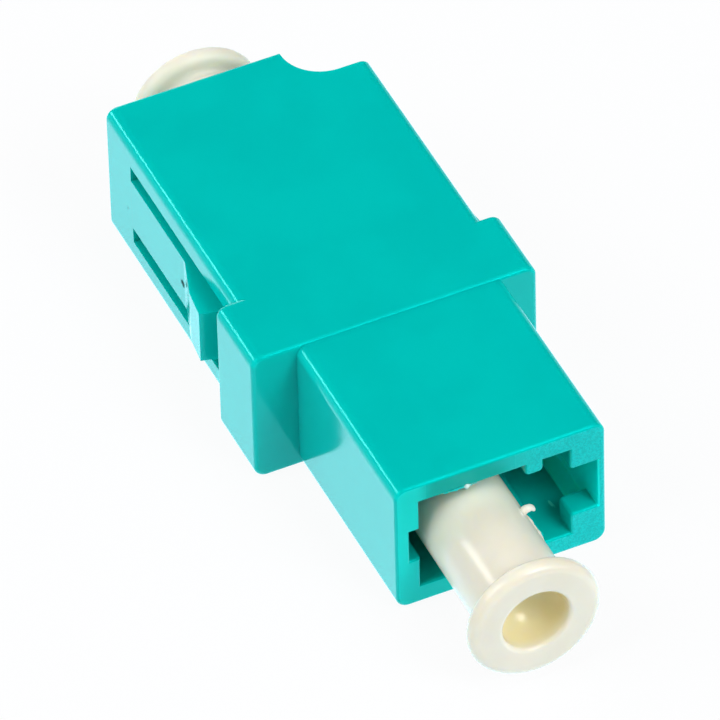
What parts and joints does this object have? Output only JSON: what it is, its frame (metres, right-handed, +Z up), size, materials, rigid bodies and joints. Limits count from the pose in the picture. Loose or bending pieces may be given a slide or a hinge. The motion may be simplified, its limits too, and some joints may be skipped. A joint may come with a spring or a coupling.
{
  "type": "fibre optic adapter",
  "caption": "Aqua plastic coupler that joins small fibre connectors end to end: panel flange, sprung side tongues, ceramic alignment sleeve inside, ivory dust caps pushed in.",
  "frame": {"origin": "the optical centre, where the two ferrules meet, on the port axis half-way through the flange", "axes": "-Y out of the front port, +X towards the latch side of the ports, +Z up as it lies on its flat side"},
  "size_m": [0.013, 0.0348, 0.0068],
  "materials": {
    "housing": "moulded aqua, smooth",
    "sleeve": "ground white zirconia",
    "dust_cap": "soft ivory, slightly see-through"
  },
  "bodies": {
    "adapter": {"rear_housing": "housing", "front_housing": "housing", "split_sleeve": "sleeve"},
    "front_cap": {"front_dust_cap": "dust_cap"},
    "rear_cap": {"rear_dust_cap": "dust_cap"}
  },
  "joints": [
    {"name": "front_cap_pull", "type": "slide", "parent": "adapter", "child": "front_cap", "axis": [0, -1, 0], "range_m": [0, 0.025]},
    {"name": "rear_cap_pull", "type": "slide", "parent": "adapter", "child": "rear_cap", "axis": [0, 1, 0], "range_m": [0, 0.025]}
  ]
}
